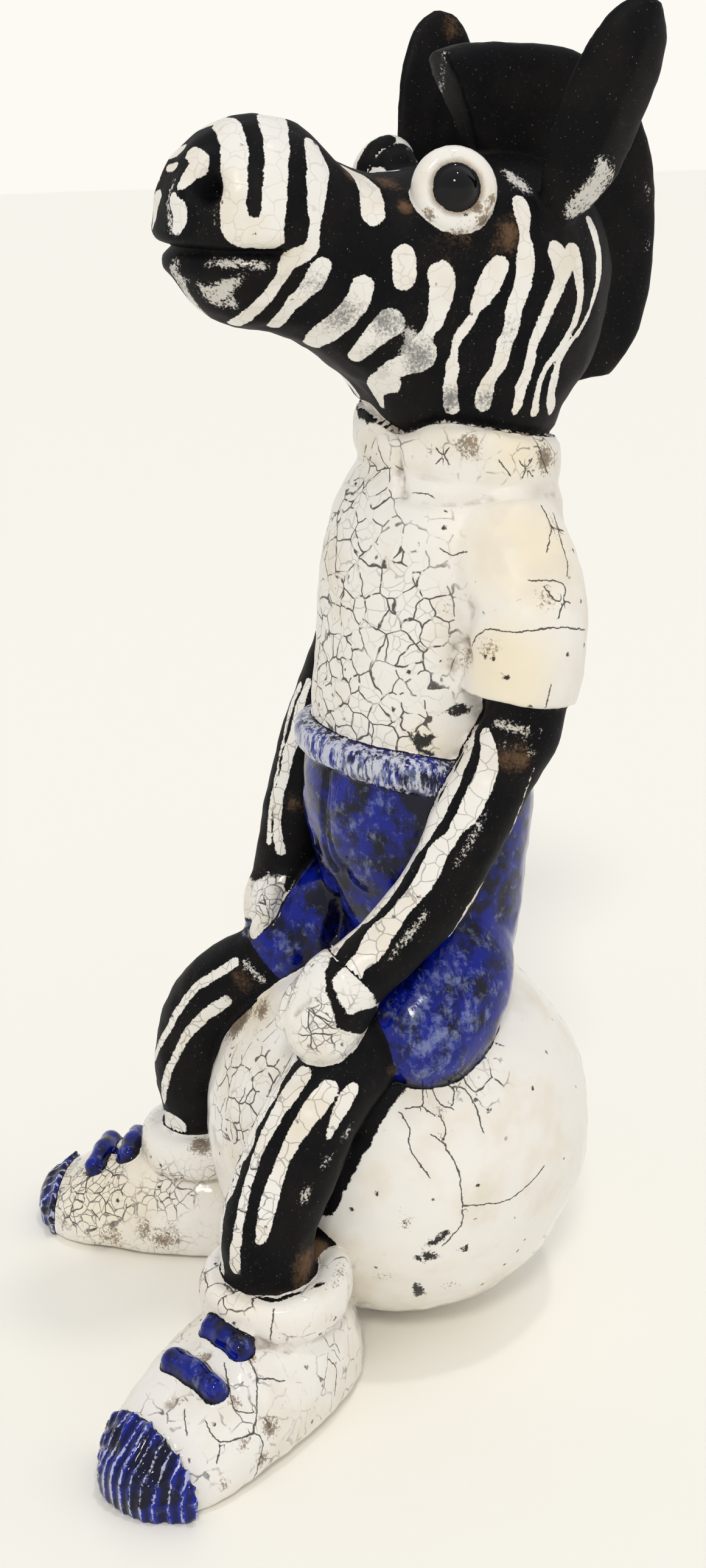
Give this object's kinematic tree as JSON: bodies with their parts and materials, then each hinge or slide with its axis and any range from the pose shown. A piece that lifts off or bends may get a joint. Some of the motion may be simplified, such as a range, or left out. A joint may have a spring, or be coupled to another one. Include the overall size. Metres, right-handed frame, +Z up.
{
  "type": "zebra figurine",
  "caption": "Raku-fired ceramic zebra in a shirt, shorts and laced shoes, sitting upright on a white ball with its hands on its knees.",
  "frame": {"origin": "on the table, at the middle of the ball's flat underside", "axes": "+Z up, the zebra faces -Y, its left side is +X"},
  "size_m": [0.2421, 0.273, 0.5225],
  "materials": {
    "raku_glaze": "glossy white crackle glaze, cobalt glaze and matt smoked black clay"
  },
  "bodies": {
    "root": {"zebra_figurine": "raku_glaze"}
  },
  "joints": []
}
